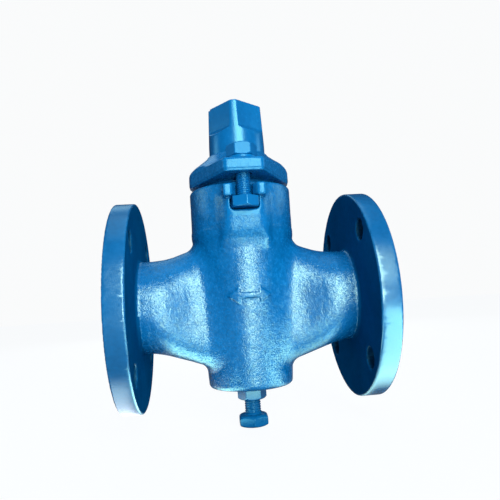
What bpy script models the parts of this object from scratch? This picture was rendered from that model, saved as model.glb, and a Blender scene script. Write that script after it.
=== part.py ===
"""Two-way plug valve with flanged ends and a packed gland. Metres, +Z up.

The origin is under the middle of the valve, on the plane its lowest point touches.
+X runs along the pipe, +Z up the plug's stem, -Y is the front.
Sizes are in mm, and heights are measured from the pipe axis.
"""

import math

import bmesh
import bpy
from mathutils import Matrix, Vector

MM = 0.001
GAP = 0.3                  # clearance between neighbouring pieces
ENDS = ((-1, "left"), (1, "right"))      # sign of X, name
FACES = ((-1, "front"), (1, "rear"))     # sign of Y, name

# ---------------------------------------------------------------- flanges and bore
HALF_LENGTH = 220.0 / 2    # half the face-to-face length
FLANGE_R = 178.0 / 2
FLANGE_T = 16.0            # thickness without the raised face
FLANGE_FILLET = 3.0
FLANGE_NECK_R = 38.6       # where the fillet ends on the neck
RAISED_FACE_R = 120.0 / 2
RAISED_FACE_H = 3.0
BOLT_CIRCLE_R = 145.0 / 2
BOLT_HOLE_R = 18.0 / 2
BORE_R = 65.0 / 2

# ---------------------------------------------------------------- body
BARREL_R = 40.6            # outer radius at the pipe axis
BARREL_TAPER = 1.0 / 16.0  # radius gained per mm of height
BARREL_BOTTOM = -73.0
BOX_OUTER_R = 44.6         # packing box, outside
BOX_FOOT = 56.0            # foot of the packing box's outside wall
BODY_TOP = 97.0
BOX_R = 33.0               # packing box, inside
BOX_MOUTH_R = BOX_R + 1.2
BOX_FLOOR = 55.0
SUMP_FLOOR = -62.0

# Neck stations: x, half width, height above the axis, depth below it, then the roundness
# of the upper and of the lower half (2 is an ellipse, more is squarer).
NECK_STATIONS = [
    (93.0, 38.5, 38.5, 39.6, 2.0, 2.05),
    (78.0, 38.3, 38.7, 41.0, 2.0, 2.6),
    (66.0, 36.4, 40.3, 43.1, 2.0, 3.4),
    (57.0, 33.4, 43.0, 46.0, 2.1, 4.0),
    (49.0, 30.4, 46.4, 49.8, 2.25, 4.6),
    (42.0, 29.4, 50.0, 53.4, 2.55, 4.95),
    (35.0, 29.4, 53.2, 56.8, 2.65, 5.0),
    (18.0, 29.6, 55.0, 59.5, 2.7, 5.0),
]

BOSS_HALF = 19.6           # bosses under the ears, front and rear
BOSS_Y = 49.6
BOSS_ROOT_Y = 36.5
BOSS_CORNER = 8.5
BOSS_TOP = 86.0
EAR_HALF = 17.1            # slotted ears on top of the bosses
EAR_Y = 56.0
EAR_ROOT_Y = 37.0
EAR_CORNER = 1.2
EAR_BOTTOM = 83.0
EAR_TOP = 93.0
POCKET_FLOOR = 73.0
POCKET_HALF = 11.8
POCKET_BACK_HALF = 3.0     # narrow flat at the inner end of the pocket
POCKET_BEVEL_DEPTH = 6.4
POCKET_OPEN_Y = 70.0
SLOT_HALF = 7.0
SLOT_MOUTH_HALF = 12.9
SLOT_MOUTH_Y = 60.0

ARROW_Z = 4.0
ARROW_TIP = 18.0           # half the length
ARROW_HEAD_X = 8.0         # where each head starts
ARROW_HEAD_HALF = 6.5
ARROW_SHAFT_HALF = 2.0
ARROW_RELIEF = 1.0         # height above the barrel
ARROW_FACE_HALF_H = 12.0   # half height of the cone that trims it

# ---------------------------------------------------------------- plug and stem
PLUG_R = 27.6              # radius at the pipe axis
PLUG_TAPER = 1.0 / 14.0
PLUG_TOP = 52.0
PLUG_BOTTOM = -55.0
SEAT_GAP = 0.3
SEAT_BOTTOM = PLUG_BOTTOM - 1
PORT_HALF_W = 14.0
PORT_HALF_H = 37.0
PORT_ROUNDNESS = 5.5
WAY_HALF_LENGTH = 45.0

# Port stations, from outside inwards: x, half width, half height, roundness.
PORT_STATIONS = [
    (125.0, BORE_R, BORE_R, 2.0),
    (82.0, BORE_R, BORE_R, 2.0),
    (62.0, 26.0, 34.3, 2.5),
    (45.0, 17.5, 36.3, 4.0),
    (31.0, PORT_HALF_W, PORT_HALF_H, PORT_ROUNDNESS),
    (10.0, PORT_HALF_W, PORT_HALF_H, PORT_ROUNDNESS),
]

STEM_R = 25.1
STEM_TOP_R = 23.7
STEM_SHOULDER = 147.0
STEM_TOP = 175.0
SQUARE_FOOT = STEM_SHOULDER + 4.0
SQUARE_TOP = 18.5          # axis to flat, at the top
SQUARE_SLOPE = 0.055       # what the flats gain per mm going down
SQUARE_TURN = -6.0         # degrees, against the port
SQUARE_RUNOUT = 20.0       # drop of the cut from the foot of the flat to its outer edge
FLAT_CUT_RISE = 12.0       # how far the cutter stands above the stem
FLAT_CUT_R = 40.0
FLAT_CUT_HALF = 32.0
GROOVE_W = 3.0
GROOVE_CUT_LENGTH = 60.0

# ---------------------------------------------------------------- gland and packing
GLAND_BOTTOM = 101.0
GLAND_TOP = 112.0
GLAND_HUB_TOP = 128.5
GLAND_TIP_Y = 62.0
GLAND_TIP_HALF = 15.0
GLAND_CORNER_X = 47.0      # side corner before rounding
GLAND_SLEEVE_R = BOX_R - GAP
GLAND_SLEEVE_BOTTOM = 88.8
GLAND_SLEEVE_CHAMFER = 0.8
GLAND_BORE_R = 25.55

# Corners of the gland plate: x, y, rounding radius.
GLAND_CORNERS = [
    (GLAND_TIP_HALF, -GLAND_TIP_Y, 2.0),
    (GLAND_CORNER_X, 0.0, 11.0),
    (GLAND_TIP_HALF, GLAND_TIP_Y, 2.0),
    (-GLAND_TIP_HALF, GLAND_TIP_Y, 2.0),
    (-GLAND_CORNER_X, 0.0, 11.0),
    (-GLAND_TIP_HALF, -GLAND_TIP_Y, 2.0),
]
# Flank of the gland's hub, from the top down: radius, height.
GLAND_FLANK = [
    (26.6, GLAND_HUB_TOP), (27.6, 127.2), (30.0, 124.9), (35.0, 120.9),
    (40.0, 117.2), (44.0, 113.9), (47.2, GLAND_TOP),
]

RING_COUNT = 4
PACKING_WASHER_T = 3.0
PACKING_INNER_R = STEM_R + 0.45

# ---------------------------------------------------------------- fasteners
HEX_CORNER = math.cos(math.pi / 6)  # across flats over across corners
STUD_Y = 48.0              # gland bolts, front and rear
STUD_R = 6.0
STUD_TOP = 127.6
STUD_CHAMFER = 1.0
HEAD_TOP = 82.6
HEAD_H = 8.6
HEAD_AF = 21.0             # AF is the width across flats
HEAD_TURN = 6.0            # degrees
SHANK_OVERLAP = 2.0        # how far a shank runs into its head
GLAND_HOLE_R = STUD_R + 1.0
SPOT_R = 13.4              # spot face under each gland washer
WASHER_R = 12.0
WASHER_T = 2.4
NUT_AF = 22.0
NUT_H = 10.4
LOCK_NUT_H = 10.0
NUT_TURN = math.pi / 6

JACK_R = 7.0
JACK_TIP = -63.0
JACK_CHAMFER = 1.4
JACK_HEAD_TOP = -97.5
JACK_HEAD_BOTTOM = -107.5
JACK_AF = 24.0
JACK_HOLE_BOTTOM = -78.0
SEAL_R = 12.0
SEAL_T = 1.4
BALL_R = 5.0

PIPE_Z = -JACK_HEAD_BOTTOM  # height of the pipe axis above the origin


# ---------------------------------------------------------------- empty scene
for old in list(bpy.data.objects):
    bpy.data.objects.remove(old, do_unlink=True)

scene = bpy.context.scene
valve = bpy.data.collections.new("plug_valve")
scene.collection.children.link(valve)
cutters = bpy.data.collections.new("cutters")
scene.collection.children.link(cutters)


# ---------------------------------------------------------------- materials
def material(name, colour, roughness, metallic, coat=0.0):
    mat = bpy.data.materials.new(name)
    mat.use_nodes = True
    inputs = mat.node_tree.nodes["Principled BSDF"].inputs
    inputs["Base Color"].default_value = (*colour, 1.0)
    inputs["Roughness"].default_value = roughness
    inputs["Metallic"].default_value = metallic
    inputs["Coat Weight"].default_value = coat
    mat.diffuse_color = (*colour, 1.0)
    return mat


blue = material(
    "blue_enamel", colour=(0.012, 0.16, 0.42), roughness=0.32, metallic=0.0, coat=0.4)
blue_fastener = material(
    "blue_enamel_fastener", colour=(0.02, 0.20, 0.47), roughness=0.30, metallic=0.1, coat=0.4)
steel = material(
    "machined_steel", colour=(0.42, 0.43, 0.45), roughness=0.35, metallic=1.0)
graphite = material(
    "braided_graphite", colour=(0.035, 0.035, 0.038), roughness=0.75, metallic=0.1)
copper = material(
    "copper_seal", colour=(0.72, 0.36, 0.20), roughness=0.38, metallic=1.0)
ball_steel = material(
    "bearing_steel", colour=(0.60, 0.60, 0.62), roughness=0.15, metallic=1.0)


# ---------------------------------------------------------------- outlines and rings
def arc(centre, radius, start, end, steps):
    """Points of a flat arc, angles in degrees."""
    angles = [math.radians(start + (end - start) * i / steps) for i in range(steps + 1)]
    return [(centre[0] + radius * math.cos(a), centre[1] + radius * math.sin(a)) for a in angles]


def on_side(points, side):
    """The outline as it is for side 1, mirrored to -Y for side -1."""
    return [(x, side * y) for x, y in points]


def rounded_block(half_x, y_out, y_in, corner, steps):
    """Rectangle from y_in to y_out with its two outer corners rounded."""
    return (
        [(-half_x, y_in)]
        + arc((-half_x + corner, y_out - corner), corner, 180, 90, steps)
        + arc((half_x - corner, y_out - corner), corner, 90, 0, steps)
        + [(half_x, y_in)]
    )


def rounded_polygon(corners):
    """Outline of (x, y, radius) corners, each replaced by an arc."""
    points = []
    for i, (x, y, radius) in enumerate(corners):
        corner = Vector((x, y))
        to_previous = (Vector(corners[i - 1][:2]) - corner).normalized()
        to_next = (Vector(corners[(i + 1) % len(corners)][:2]) - corner).normalized()
        half_angle = to_previous.angle(to_next) / 2
        setback = radius / math.tan(half_angle)
        centre = corner + (to_previous + to_next).normalized() * (radius / math.sin(half_angle))
        start = corner + to_previous * setback - centre
        end = corner + to_next * setback - centre
        sweep = start.angle(end)
        steps = 6 if radius > 3 else 3
        for k in range(steps + 1):
            t = k / steps
            spoke = start * math.sin((1 - t) * sweep) + end * math.sin(t * sweep)
            points.append(tuple(centre + spoke / math.sin(sweep)))
    return points


def oval_ring(x, half_w, up, down, round_up, round_down, count):
    """Superellipse in the plane at x, its upper and lower halves set apart."""
    ring = []
    for i in range(count):
        angle = math.tau * i / count
        c, s = math.cos(angle), math.sin(angle)
        roundness, height = (round_up, up) if s >= 0 else (round_down, down)
        y = half_w * math.copysign(abs(c) ** (2 / roundness), c)
        z = height * math.copysign(abs(s) ** (2 / roundness), s)
        ring.append((x, y, z))
    return ring


def port_ring(x, half_w, half_h, roundness):
    return oval_ring(x, half_w, half_h, half_h, roundness, roundness, count=28)


def barrel_r(z):
    return BARREL_R + BARREL_TAPER * z


def plug_r(z):
    return PLUG_R + PLUG_TAPER * z


def seat_r(z):
    return plug_r(z) + SEAT_GAP


# ---------------------------------------------------------------- solids
def new_object(name, mesh, where, origin=(0, 0, 0)):
    """Links a mesh given in object space; origin is in mm from the pipe axis."""
    ob = bpy.data.objects.new(name, mesh)
    where.objects.link(ob)
    ob.location = (origin[0] * MM, origin[1] * MM, (origin[2] + PIPE_Z) * MM)
    return ob


def object_from_bmesh(name, bm, where, origin=(0, 0, 0)):
    mesh = bpy.data.meshes.new(name)
    bm.to_mesh(mesh)
    bm.free()
    return new_object(name, mesh, where, origin)


def lathe(name, profile, steps, where, origin=(0, 0, 0), closed=False):
    """Turns (radius, height) points about Z. The outside runs top to bottom."""
    mesh = bpy.data.meshes.new(name)
    points = [(r * MM, 0.0, z * MM) for r, z in profile]
    edges = [(i, i + 1) for i in range(len(points) - 1)]
    if closed:
        edges.append((len(points) - 1, 0))
    mesh.from_pydata(points, edges, [])
    ob = new_object(name, mesh, where, origin)
    screw = ob.modifiers.new("turn", "SCREW")
    screw.angle = math.tau
    screw.steps = screw.render_steps = steps
    screw.use_merge_vertices = True
    screw.merge_threshold = 0.00001
    screw.use_smooth_shade = True
    return ob


def cylinder(name, radius, z0, z1, steps, where, origin=(0, 0, 0), turn=0.0):
    bm = bmesh.new()
    bmesh.ops.create_cone(
        bm, cap_ends=True, segments=steps,
        radius1=radius * MM, radius2=radius * MM, depth=(z1 - z0) * MM,
        matrix=Matrix.Translation((0, 0, (z0 + z1) / 2 * MM)) @ Matrix.Rotation(turn, 4, "Z"),
    )
    return object_from_bmesh(name, bm, where, origin)


def hexagon(name, across_flats, z0, z1, origin=(0, 0, 0), turn=0.0):
    """Hexagonal prism, a flat facing +X when turn is 0."""
    return cylinder(name, across_flats / 2 / HEX_CORNER, z0, z1, 6, valve, origin, turn)


def outline(name, points, z0, z1, where, origin=(0, 0, 0)):
    """A flat outline given thickness: a filled 2D curve, made a mesh and welded."""
    curve = bpy.data.curves.new(name, "CURVE")
    curve.dimensions = "2D"
    curve.fill_mode = "BOTH"
    curve.extrude = (z1 - z0) / 2 * MM
    spline = curve.splines.new("POLY")
    spline.points.add(len(points) - 1)
    for point, (x, y) in zip(spline.points, points):
        point.co = (x * MM, y * MM, 0.0, 1.0)
    spline.use_cyclic_u = True
    temp = bpy.data.objects.new(name + "_curve", curve)
    scene.collection.objects.link(temp)
    bpy.context.view_layer.update()
    depsgraph = bpy.context.evaluated_depsgraph_get()
    mesh = bpy.data.meshes.new_from_object(temp.evaluated_get(depsgraph))
    bpy.data.objects.remove(temp)
    bm = bmesh.new()
    bm.from_mesh(mesh)
    bmesh.ops.remove_doubles(bm, verts=bm.verts, dist=0.000001)
    bmesh.ops.translate(bm, verts=bm.verts, vec=(0, 0, (z0 + z1) / 2 * MM))
    bmesh.ops.recalc_face_normals(bm, faces=bm.faces)
    bm.to_mesh(mesh)
    bm.free()
    mesh.name = name
    return new_object(name, mesh, where, origin)


def loft(name, sections):
    """Cutter or helper skinned over rings of points, capped at both ends."""
    bm = bmesh.new()
    rings = [[bm.verts.new(Vector(p) * MM) for p in ring] for ring in sections]
    count = len(rings[0])
    for a, b in zip(rings, rings[1:]):
        for i in range(count):
            j = (i + 1) % count
            bm.faces.new((a[i], a[j], b[j], b[i]))
    bm.faces.new(rings[0])
    bm.faces.new(rings[-1])
    bmesh.ops.recalc_face_normals(bm, faces=bm.faces)
    return object_from_bmesh(name, bm, cutters)


def boolean(ob, other, operation):
    other.hide_render = True
    other.display_type = "WIRE"
    modifier = ob.modifiers.new(operation.lower() + "_" + other.name, "BOOLEAN")
    modifier.operation = operation
    modifier.solver = "EXACT"
    modifier.object = other


def join(ob, other):
    boolean(ob, other, "UNION")


def cut(ob, other):
    boolean(ob, other, "DIFFERENCE")


def finish(ob, mat, angle=35.0):
    """Material and shading. A turned piece gets its shading from the screw modifier."""
    ob.data.materials.clear()
    ob.data.materials.append(mat)
    ob.data.shade_smooth()
    if not any(m.type == "SCREW" for m in ob.modifiers):
        ob.data.set_sharp_from_angle(angle=math.radians(angle))


def flat_ring(name, r_out, r_in, z0, z1, steps, mat, origin=(0, 0, 0)):
    """Ring of rectangular section."""
    profile = [(r_out, z1), (r_out, z0), (r_in, z0), (r_in, z1)]
    finish(lathe(name, profile, steps, valve, origin, closed=True), mat)


# ---------------------------------------------------------------- body casting
def add_necks(body):
    """Round at the flange, tall and narrow where they meet the barrel."""
    for side, tag in ENDS:
        rings = [oval_ring(side * x, *shape, count=32) for x, *shape in NECK_STATIONS]
        join(body, loft("neck_" + tag, rings))


def add_flanges(body):
    """Turned about the pipe axis; height in the profile runs outwards."""
    rim = HALF_LENGTH - RAISED_FACE_H
    back = rim - FLANGE_T
    fillet_centre = (FLANGE_NECK_R + FLANGE_FILLET, back - FLANGE_FILLET)
    profile = (
        [(0.0, HALF_LENGTH), (RAISED_FACE_R - 0.4, HALF_LENGTH)]
        + [(RAISED_FACE_R, HALF_LENGTH - 0.4), (RAISED_FACE_R, rim)]
        + [(FLANGE_R - 0.8, rim), (FLANGE_R, rim - 0.8)]
        + [(FLANGE_R, back + 1.5), (FLANGE_R - 1.5, back)]
        + arc(fillet_centre, FLANGE_FILLET, 90, 180, 3)
        + [(36.5, back - 4.5), (0.0, back - 4.5)]
    )
    for side, tag in ENDS:
        flange = lathe("flange_" + tag, profile, 48, cutters)
        flange.rotation_euler = (0.0, side * math.pi / 2, 0.0)
        join(body, flange)


def add_bosses(body):
    """Front and rear bosses and ears that carry the gland bolts."""
    boss = rounded_block(BOSS_HALF, BOSS_Y, BOSS_ROOT_Y, BOSS_CORNER, 4)
    ear = rounded_block(EAR_HALF, EAR_Y, EAR_ROOT_Y, EAR_CORNER, 2)
    for side, tag in FACES:
        join(body, outline(
            "boss_" + tag, on_side(boss, side), BOX_FOOT - 1.0, BOSS_TOP, cutters))
        join(body, outline("ear_" + tag, on_side(ear, side), EAR_BOTTOM, EAR_TOP, cutters))


def cut_inside(body):
    """Packing box, tapered seat, sump and hole for the jacking bolt, then the ports."""
    profile = [
        (0.0, BODY_TOP + 8), (BOX_MOUTH_R, BODY_TOP + 8),
        (BOX_MOUTH_R, BODY_TOP - 0.01), (BOX_R, BODY_TOP - 1.2),
        (BOX_R, BOX_FLOOR), (seat_r(BOX_FLOOR), BOX_FLOOR),
        (seat_r(SEAT_BOTTOM), SEAT_BOTTOM), (plug_r(SEAT_BOTTOM) - 1.2, SUMP_FLOOR),
        (JACK_R + GAP, SUMP_FLOOR), (JACK_R + GAP, JACK_HOLE_BOTTOM), (0.0, JACK_HOLE_BOTTOM),
    ]
    cut(body, lathe("cut_seat", profile, 40, cutters))
    for side, tag in ENDS:
        rings = [port_ring(side * x, *shape) for x, *shape in PORT_STATIONS]
        cut(body, loft("cut_port_" + tag, rings))


def cut_flange_holes(body):
    """Four bolt holes in each flange, at 45 degrees to the stem."""
    for k in range(4):
        angle = math.radians(45 + 90 * k)
        origin = (0.0, BOLT_CIRCLE_R * math.cos(angle), BOLT_CIRCLE_R * math.sin(angle))
        for side, tag in ENDS:
            hole = cylinder(
                "cut_hole_%s_%d" % (tag, k), BOLT_HOLE_R, 84.0, 116.0, 20, cutters, origin)
            hole.rotation_euler = (0.0, side * math.pi / 2, 0.0)
            cut(body, hole)


def cut_bolt_slots(body):
    """Pocket for each gland bolt's head and the open slot above it."""
    inner = STUD_Y - HEAD_AF / 2 / HEX_CORNER - 0.5
    bevel_y = inner + POCKET_BEVEL_DEPTH
    pocket = [
        (-POCKET_HALF, POCKET_OPEN_Y), (-POCKET_HALF, bevel_y), (-POCKET_BACK_HALF, inner),
        (POCKET_BACK_HALF, inner), (POCKET_HALF, bevel_y), (POCKET_HALF, POCKET_OPEN_Y),
    ]
    slot = (
        [(-SLOT_MOUTH_HALF, SLOT_MOUTH_Y), (-SLOT_HALF - 0.2, STUD_Y + 1.0)]
        + arc((0.0, STUD_Y), SLOT_HALF, 180, 360, 10)
        + [(SLOT_HALF + 0.2, STUD_Y + 1.0), (SLOT_MOUTH_HALF, SLOT_MOUTH_Y)]
    )
    for side, tag in FACES:
        cut(body, outline(
            "cut_pocket_" + tag, on_side(pocket, side), POCKET_FLOOR, EAR_BOTTOM, cutters))
        cut(body, outline(
            "cut_slot_" + tag, on_side(slot, side), EAR_BOTTOM - 2.0, BODY_TOP + 4, cutters))


def add_flow_arrow(body):
    """Raised two-way arrow on the front, trimmed by a cone just larger than the barrel."""
    right_half = [
        (ARROW_HEAD_X, ARROW_SHAFT_HALF), (ARROW_HEAD_X, ARROW_HEAD_HALF), (ARROW_TIP, 0.0),
        (ARROW_HEAD_X, -ARROW_HEAD_HALF), (ARROW_HEAD_X, -ARROW_SHAFT_HALF),
    ]
    left_half = [(-x, -y) for x, y in right_half]
    arrow = outline(
        "flow_arrow", right_half + left_half, 30.0, 50.0, cutters, (0.0, 0.0, ARROW_Z))
    arrow.rotation_euler = (math.pi / 2, 0.0, 0.0)
    top = ARROW_Z + ARROW_FACE_HALF_H
    bottom = ARROW_Z - ARROW_FACE_HALF_H
    face = [
        (0.0, top), (barrel_r(top) + ARROW_RELIEF, top),
        (barrel_r(bottom) + ARROW_RELIEF, bottom), (0.0, bottom),
    ]
    boolean(arrow, lathe("arrow_face", face, 64, cutters), "INTERSECT")
    join(body, arrow)


def build_body():
    # Barrel and packing box are one turned shape, capped on the axis.
    profile = (
        [(0.0, BODY_TOP), (41.4, BODY_TOP), (42.8, 96.2), (44.1, 94.2), (BOX_OUTER_R, 91.0)]
        + [(BOX_OUTER_R, BOX_FOOT + 1.5), (BOX_OUTER_R - 0.4, BOX_FOOT)]
        + [(barrel_r(z), z) for z in (53.0, 20.0, -20.0, -50.0, -69.0)]
        + [(barrel_r(-71.2) - 0.7, -71.4), (barrel_r(BARREL_BOTTOM) - 2.6, BARREL_BOTTOM)]
        + [(0.0, BARREL_BOTTOM)]
    )
    body = lathe("body", profile, 44, valve)
    add_necks(body)
    add_flanges(body)
    add_bosses(body)
    cut_inside(body)
    cut_flange_holes(body)
    cut_bolt_slots(body)
    add_flow_arrow(body)
    finish(body, blue)


# ---------------------------------------------------------------- plug and stem
def cut_square(plug):
    """Square for the wrench: its corners, cut off by the round stem, lie near X and Y."""
    foot_r = SQUARE_TOP + SQUARE_SLOPE * (STEM_TOP - SQUARE_FOOT)
    top = STEM_TOP + FLAT_CUT_RISE
    # Side view of one cut: a slightly sloped flat with a run-out at its foot.
    side_view = [
        (foot_r, SQUARE_FOOT), (SQUARE_TOP - SQUARE_SLOPE * FLAT_CUT_RISE, top),
        (FLAT_CUT_R, top), (FLAT_CUT_R, SQUARE_FOOT - SQUARE_RUNOUT),
    ]
    for k in range(4):
        flat = outline("cut_flat_%d" % k, side_view, -FLAT_CUT_HALF, FLAT_CUT_HALF, cutters)
        flat.rotation_euler = (math.pi / 2, 0.0, math.radians(45 + 90 * k + SQUARE_TURN))
        cut(plug, flat)


def cut_groove(plug):
    """Groove on the end of the square that shows which way the port lies."""
    bm = bmesh.new()
    size = (GROOVE_CUT_LENGTH * MM, GROOVE_W * MM, GROOVE_W * MM, 1)
    bmesh.ops.create_cube(
        bm, size=1.0, matrix=Matrix.Translation((0, 0, STEM_TOP * MM)) @ Matrix.Diagonal(size))
    cut(plug, object_from_bmesh("cut_groove", bm, cutters))


def build_plug():
    profile = [
        (0.0, STEM_TOP), (STEM_TOP_R - 0.7, STEM_TOP), (STEM_TOP_R, STEM_TOP - 0.7),
        (STEM_R - 0.35, STEM_SHOULDER), (STEM_R, STEM_SHOULDER - 10),
        (STEM_R, PLUG_TOP + 2.5), (STEM_R + 1.5, PLUG_TOP),
        (plug_r(PLUG_TOP) - 1.0, PLUG_TOP), (plug_r(PLUG_TOP - 1), PLUG_TOP - 1),
        (plug_r(PLUG_BOTTOM + 1), PLUG_BOTTOM + 1), (plug_r(PLUG_BOTTOM) - 1.0, PLUG_BOTTOM),
        # recess for the thrust ball
        (BALL_R + 1.6, PLUG_BOTTOM), (BALL_R + 1.2, PLUG_BOTTOM + 3.6),
        (2.0, PLUG_BOTTOM + 5.0), (0.0, PLUG_BOTTOM + 5.0),
    ]
    plug = lathe("plug", profile, 44, valve)
    cut_square(plug)
    cut_groove(plug)
    way = [
        port_ring(x, PORT_HALF_W, PORT_HALF_H, PORT_ROUNDNESS)
        for x in (-WAY_HALF_LENGTH, WAY_HALF_LENGTH)
    ]
    cut(plug, loft("cut_way", way))
    finish(plug, steel)


# ---------------------------------------------------------------- gland and packing
def build_gland():
    """The plate outline, stood up past the hub, kept only under a cone rising to the stem."""
    gland = outline(
        "gland", rounded_polygon(GLAND_CORNERS), GLAND_BOTTOM, GLAND_HUB_TOP + 3.0, valve)
    envelope = (
        [(0.0, GLAND_HUB_TOP)] + GLAND_FLANK
        + [(80.0, GLAND_TOP), (80.0, GLAND_BOTTOM - 4.0), (0.0, GLAND_BOTTOM - 4.0)]
    )
    boolean(gland, lathe("gland_top", envelope, 44, cutters), "INTERSECT")
    sleeve = [
        (0.0, GLAND_BOTTOM + 5.0), (GLAND_SLEEVE_R, GLAND_BOTTOM + 5.0),
        (GLAND_SLEEVE_R, GLAND_SLEEVE_BOTTOM + GLAND_SLEEVE_CHAMFER),
        (GLAND_SLEEVE_R - GLAND_SLEEVE_CHAMFER, GLAND_SLEEVE_BOTTOM), (0.0, GLAND_SLEEVE_BOTTOM),
    ]
    join(gland, lathe("gland_sleeve", sleeve, 44, cutters))
    cut(gland, cylinder(
        "cut_gland_bore", GLAND_BORE_R, GLAND_SLEEVE_BOTTOM - 5, GLAND_HUB_TOP + 5, 44, cutters))
    for side, tag in FACES:
        at = (0, side * STUD_Y, 0)
        cut(gland, cylinder(
            "cut_spot_" + tag, SPOT_R, GLAND_TOP, GLAND_HUB_TOP + 8, 28, cutters, at))
        cut(gland, cylinder(
            "cut_gland_" + tag, GLAND_HOLE_R, GLAND_BOTTOM - 4, GLAND_TOP + 6, 20, cutters, at))
    finish(gland, blue)


def build_packing():
    """A steel washer on the box floor, then graphite rings up to the gland's sleeve."""
    radii = (BOX_R - GAP, PACKING_INNER_R)
    washer_z = BOX_FLOOR + GAP
    washer_top = washer_z + PACKING_WASHER_T
    flat_ring("packing_washer", *radii, washer_z, washer_top, 36, steel)
    stack_low = washer_top + GAP
    stack_high = GLAND_SLEEVE_BOTTOM - GAP
    pitch = (stack_high - stack_low + GAP) / RING_COUNT
    for k in range(RING_COUNT):
        z0 = stack_low + pitch * k
        flat_ring("packing_ring_%d" % (k + 1), *radii, z0, z0 + pitch - GAP, 32, graphite)


# ---------------------------------------------------------------- fasteners
def build_nut(name, z0, z1, bolt_r, origin=(0, 0, 0)):
    """Hexagon nut, its points turned to a cone top and bottom."""
    nut = hexagon(name, NUT_AF, z0, z1, origin, NUT_TURN)
    slope = 0.58               # height lost per mm of radius
    face_r = NUT_AF / 2 - 0.6  # where the cone meets the end face
    outer_r = NUT_AF / 2 / HEX_CORNER + 0.6
    over = 0.5                 # how far the cones run past the end faces
    apex_r = face_r - over / slope
    drop = (outer_r - face_r) * slope
    crown = [
        (0.0, z1 + over), (apex_r, z1 + over), (outer_r, z1 - drop),
        (outer_r, z0 + drop), (apex_r, z0 - over), (0.0, z0 - over),
    ]
    boolean(nut, lathe(name + "_crown", crown, 24, cutters, origin), "INTERSECT")
    cut(nut, cylinder(name + "_bore", bolt_r + GAP, z0 - 3, z1 + 3, 20, cutters, origin))
    finish(nut, blue_fastener, 25)


def add_shank(bolt, name, radius, tip, chamfer, head_top, origin=(0, 0, 0)):
    """Plain shank, chamfered at its tip, rising from inside the bolt's head."""
    foot = head_top - SHANK_OVERLAP
    profile = [
        (0.0, tip), (radius - chamfer, tip), (radius, tip - chamfer), (radius, foot), (0.0, foot),
    ]
    join(bolt, lathe(name, profile, 20, cutters, origin))


def build_gland_bolts():
    """Bolt with its head low and a corner near the front or rear, washer and nut."""
    washer_z = GLAND_TOP + GAP
    washer_top = washer_z + WASHER_T
    nut_z = washer_top + GAP
    for side, tag in FACES:
        at = (0, side * STUD_Y, 0)
        bolt = hexagon(
            "gland_bolt_" + tag, HEAD_AF, HEAD_TOP - HEAD_H, HEAD_TOP, at,
            math.radians(HEAD_TURN))
        add_shank(bolt, "shank_" + tag, STUD_R, STUD_TOP, STUD_CHAMFER, HEAD_TOP, at)
        finish(bolt, blue_fastener, 25)
        flat_ring(
            "gland_washer_" + tag, WASHER_R, STUD_R + 0.6, washer_z, washer_top, 24,
            blue_fastener, at)
        build_nut("gland_nut_" + tag, nut_z, nut_z + NUT_H, STUD_R, at)


def build_jacking_bolt():
    """Adjusting screw under the plug, the lower edge of its head turned to a cone."""
    jack = hexagon("jacking_bolt", JACK_AF, JACK_HEAD_BOTTOM, JACK_HEAD_TOP)
    outer_r = JACK_AF / 2 / HEX_CORNER + 0.8
    crown = [
        (0.0, JACK_HEAD_TOP + 0.5), (outer_r, JACK_HEAD_TOP + 0.5),
        (outer_r, JACK_HEAD_BOTTOM + 1.4), (JACK_AF / 2 - 0.8, JACK_HEAD_BOTTOM),
        (JACK_AF / 2 - 1.4, JACK_HEAD_BOTTOM - 0.5), (0.0, JACK_HEAD_BOTTOM - 0.5),
    ]
    boolean(jack, lathe("jack_crown", crown, 24, cutters), "INTERSECT")
    add_shank(jack, "jack_shank", JACK_R, JACK_TIP, JACK_CHAMFER, JACK_HEAD_TOP)
    finish(jack, blue_fastener, 25)


def build_seal_and_lock_nut():
    seal_top = BARREL_BOTTOM - GAP
    seal_bottom = seal_top - SEAL_T
    flat_ring("seal_washer", SEAL_R, JACK_R + 0.4, seal_bottom, seal_top, 24, copper)
    nut_top = seal_bottom - GAP
    build_nut("lock_nut", nut_top - LOCK_NUT_H, nut_top, JACK_R)


def build_thrust_ball():
    """Ball between the jacking bolt and the plug."""
    bm = bmesh.new()
    bmesh.ops.create_uvsphere(bm, u_segments=14, v_segments=8, radius=BALL_R * MM)
    ball = object_from_bmesh("thrust_ball", bm, valve, (0, 0, JACK_TIP + GAP + BALL_R))
    finish(ball, ball_steel, 60)


build_body()
build_plug()
build_gland()
build_packing()
build_gland_bolts()
build_jacking_bolt()
build_seal_and_lock_nut()
build_thrust_ball()
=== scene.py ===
"""Plug valve: flanged cast body, tapered plug with stem, bolted gland, packing and jacking bolt.

The pipe runs along x, PIPE_Z above the floor. The stem axis is z, the front is -y. Shapes are in
mm from the point where the two axes cross; meshes, lights and camera are in metres from the floor.
"""

import math

import bpy
import numpy as np
from mathutils import Matrix, Vector, noise


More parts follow.
